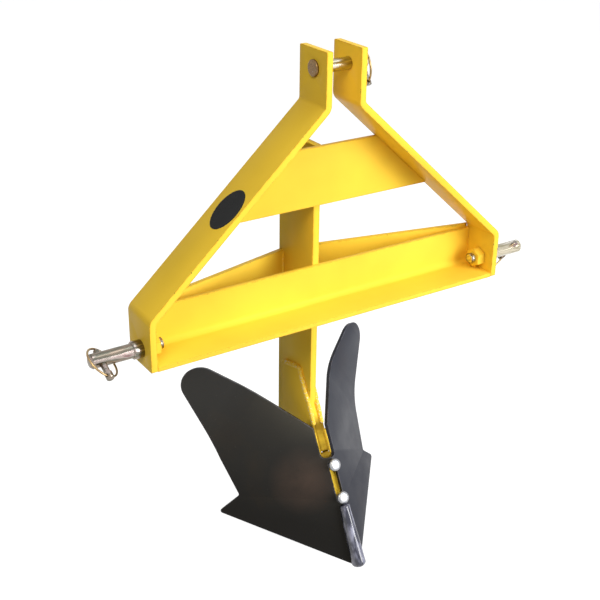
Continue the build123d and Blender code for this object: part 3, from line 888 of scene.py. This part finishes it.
class PLOUGH_OT_bottom(bpy.types.Operator):
    """Builds the black wings and the rib"""

    bl_idname = "plough.bottom"
    bl_label = "Black bottom"

    def execute(self, context):
        paint = context.scene.plough_paint
        # the left wing's black carries a painted warm reflection of the frame
        left = satin_black(
            paint, "satin black left", paint.black, (1.0, 0.97, 0.90), WARM_REFLECTION_MIDDLE
        )
        # the right wing's black is tinted blue, with a blue gloss tint, as a painted reflection
        right = satin_black(paint, "satin black right", paint.blue_reflection_black, (0.80, 0.86, 1.0))
        for node, black in (("wing_left", left), ("wing_right", right)):
            dress(softened(f"{node}_painted", node, paint.plate_round), black)
        rib = self.rib(context.scene.plough_weld)
        dress(put("nose_rib_bead", *rib, "nose_rib", slot="black_paint"), weld_black())
        return {"FINISHED"}

    def rib(self, weld):
        """The rib: an arc from wing to wing about the ridge line, carried up it. Its radius
        falls evenly from the nose. It is rippled and uneven with a low keel in front, rounded
        off at both ends, and closed by two points inside the plates."""
        foot_round, head_round = 0.009, 0.003
        along = np.linspace(weld.rib_start, weld.rib_top, 150)
        share = (along - weld.rib_start) / (weld.rib_top - weld.rib_start)
        radius = weld.rib_r + share * (weld.rib_top_r - weld.rib_r)
        foot = np.clip((along - weld.rib_start) / foot_round, 0, 1)
        head = np.clip((weld.rib_top - along) / head_round, 0, 1)
        foot = np.sqrt(np.clip(1 - (1 - foot) ** 2, 1e-4, 1))
        head = np.sqrt(np.clip(1 - (1 - head) ** 2, 1e-4, 1))
        radius = radius * foot * head
        turn = np.radians(np.linspace(-133, 133, 60))[None, :]
        climb = along[:, None]
        pace = climb + 0.0016 * np.sin(climb / 0.0037) + 0.0011 * np.sin(climb / 0.0083 + 2)
        ripple = np.abs(np.sin(np.pi * (pace - 0.0035 * np.cos(turn)) / 0.0047))
        lump = np.sin(climb / 0.0061 + 2.1 * turn) + np.sin(climb / 0.0113 - 3.3 * turn + 1)
        keel = np.exp(-((turn / 0.30) ** 2))
        skin = radius[:, None] * (0.952 + 0.010 * ripple + 0.010 * lump + 0.022 * keel)
        inner = np.minimum(radius, 0.003)[:, None]
        skin = np.concatenate([skin, inner, inner], 1)
        turn = np.concatenate([turn, np.radians([[120, -120]])], 1)
        points = (
            NOSE
            + climb[..., None] * RIDGE_UP
            + (skin * np.cos(turn))[..., None] * RIDGE_AHEAD
            + (skin * np.sin(turn))[..., None] * SIDEWAYS
        )
        return points.reshape(-1, 3), grid_faces(len(along), turn.shape[1])


class PLOUGH_OT_hardware(bpy.types.Operator):
    """Builds the plough bolts, hitch pins, nuts, linch pins and rings"""

    bl_idname = "plough.hardware"
    bl_label = "Bolts, pins and rings"

    def execute(self, context):
        sizes = context.scene.plough_hardware
        bright, passivated, glare_pale_zinc, browned, wire = (
            plated_steel(name, *look) for name, look in PLATINGS.items()
        )
        self.bolts(sizes, bright)
        painted = yellow_enamel(context.scene.plough_paint, "yellow enamel on nuts", 0.3, 0.15)
        self.hitch_pin("left", -SIDEWAYS, sizes, passivated, passivated, painted)
        # the right pin is dressed in the pale zinc, a painted glare
        self.hitch_pin("right", SIDEWAYS, sizes, glare_pale_zinc, passivated, painted)
        self.top_pin(glare_pale_zinc, browned)
        for side in ("left", "right", "top"):
            pin, ring = f"linch_pin_{side}", f"linch_ring_{side}"
            dress(softened(f"{pin}_plated", pin, LINCH_PIN_ROUND), passivated)
            hoop = self.ring(ring, sizes.wire_r)
            dress(put(f"{ring}_wire", *hoop, ring, f"{side}_ring", "ring_wire"), wire)
        return {"FINISHED"}

    def hitch_pin(self, side, away, sizes, plating, thread_plating, paint):
        """A lower pin, its painted nut inside the bar, and the thread in the nut: a stem from
        the stud's end into the nut."""
        pin = softened(
            f"hitch_pin_{side}_plated", f"hitch_pin_{side}", HITCH_PIN_ROUND
        )
        dress(pin, plating)
        nut = six_sided(away * HITCH_NUT_FACE, away, *HITCH_NUT)
        nut = put(f"hitch_nut_{side}_painted", *nut, f"hitch_nut_{side}", slot="yellow_paint")
        dress(nut, paint)
        along = np.linspace(STUD_END + 0.0005, HITCH_NUT_FACE + 0.0006, 60)
        crest = thread_radius(
            along, along[0], HITCH_NUT_FACE + 0.002, STUD_R + 0.0004, 0.0009, sizes.thread_pitch
        )
        crest[[0, -1]] = STUD_R - 0.0012
        thread = turned(np.zeros(3), away, along, crest)
        dress(put(f"hitch_thread_{side}", *thread, slot="yellow_zinc"), thread_plating)

    def top_pin(self, plating, head_plating):
        """The top link's pin, with another plating on the faces of its head."""
        top = softened("top_link_pin_plated", "top_link_pin", TOP_PIN_ROUND)
        dress(top, plating)
        top.data.materials.append(head_plating)
        middles = np.empty(len(top.data.polygons) * 3)
        top.data.polygons.foreach_get("center", middles)
        at_head = (middles[::3] < TOP_HEAD_BEYOND).astype(int)
        top.data.polygons.foreach_set("material_index", at_head)

    def bolts(self, sizes, finish):
        """Round-headed plough bolts: a low dome over a short rim, a stem with a thread behind
        the frog, and a hexagonal nut on it."""
        angle = np.linspace(0, math.pi / 2, 14)
        rim = sizes.bolt_head_h * 0.42
        dome = sizes.bolt_head_h - rim
        for level, height in zip(("lower", "upper"), BOLT_HEIGHTS):
            seat = on_ridge(height)
            stem = np.linspace(-sizes.bolt_depth, BOLT_THREAD_END, 90)
            thread = thread_radius(
                stem, stem[0] - 0.0005, BOLT_THREAD_END - 0.0005, sizes.bolt_r, 0.0008,
                sizes.thread_pitch,
            )
            thread[0] = NEARLY_NOTHING
            neck = np.array([-0.043, -0.006, -0.0001])
            head = rim + dome * np.sin(angle)
            along = np.concatenate([stem, neck, [0.0, 0.0002], head])
            plain = np.concatenate(
                [[sizes.bolt_r, sizes.bolt_r, 0.007],
                 [sizes.bolt_head_r - 0.0004, sizes.bolt_head_r],
                 sizes.bolt_head_r * np.maximum(np.cos(angle), 1e-4) ** 0.55]
            )
            radius = np.concatenate([thread, np.broadcast_to(plain[:, None], (len(plain), 64))])
            bolt = turned(seat, RIDGE_AHEAD, along, radius)
            nut = six_sided(on_ridge(height, BOLT_NUT_FACE), -RIDGE_AHEAD, *BOLT_NUT)
            for node, shape in ((f"plough_bolt_{level}", bolt), (f"plough_nut_{level}", nut)):
                dress(put(f"{node}_plated", *shape, node, slot="bright_zinc"), finish)

    def ring(self, node, wire_r):
        """A hoop of round wire: a circle carried round the node's own circle, whose middle and
        plane are those of the node's points."""
        mesh = NODES[node].data
        places = np.empty(len(mesh.vertices) * 3)
        mesh.vertices.foreach_get("co", places)
        places = np.unique(places.reshape(-1, 3).round(7), axis=0)
        low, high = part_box(node)
        middle = (np.array(low) + np.array(high)) / 2
        axes = np.linalg.svd(places - middle, full_matrices=False)[2]
        reach = np.abs((places - middle) @ axes[0]).max() - wire_r
        turn = np.linspace(0, FULL_TURN, 120, endpoint=False)[:, None, None]
        round_wire = np.linspace(0, FULL_TURN, 16, endpoint=False)[None, :, None]
        out = np.cos(turn) * axes[0] + np.sin(turn) * axes[1]
        points = middle + out * (reach + wire_r * np.cos(round_wire))
        points = points + wire_r * np.sin(round_wire) * np.cross(axes[0], axes[1])
        return points.reshape(-1, 3), grid_faces(120, 16, True)


class PLOUGH_PT_sidebar(bpy.types.Panel):
    """Lists the plough's sizes, colours and steps"""

    bl_idname = "PLOUGH_PT_sidebar"
    bl_label = "Plough"
    bl_space_type = "VIEW_3D"
    bl_region_type = "UI"
    bl_category = "Plough"

    def draw(self, context):
        layout = self.layout
        for step in STEPS:
            layout.operator(step)
        for key in SETTINGS:
            group = getattr(context.scene, key)
            for name in group.__annotations__:
                layout.prop(group, name)


SETTINGS = {
    "plough_studio": StudioSettings,
    "plough_paint": PaintSettings,
    "plough_weld": WeldSettings,
    "plough_hardware": HardwareSettings,
}
CLASSES = (
    *SETTINGS.values(), PLOUGH_OT_stage, PLOUGH_OT_frame, PLOUGH_OT_welds, PLOUGH_OT_bottom,
    PLOUGH_OT_hardware, PLOUGH_PT_sidebar,
)
STEPS = ("plough.stage", "plough.frame", "plough.welds", "plough.bottom", "plough.hardware")


def register():
    """Registers the classes and hangs their settings on the scene."""
    for kind in CLASSES:
        bpy.utils.register_class(kind)
    for key, kind in SETTINGS.items():
        setattr(bpy.types.Scene, key, PointerProperty(type=kind))


def unregister():
    """Takes the settings and the classes away again."""
    for key in SETTINGS:
        delattr(bpy.types.Scene, key)
    for kind in reversed(CLASSES):
        bpy.utils.unregister_class(kind)


def main():
    """Runs every step in order."""
    register()
    for step in STEPS:
        group, name = step.split(".")
        getattr(getattr(bpy.ops, group), name)()


if __name__ == "__main__":
    main()
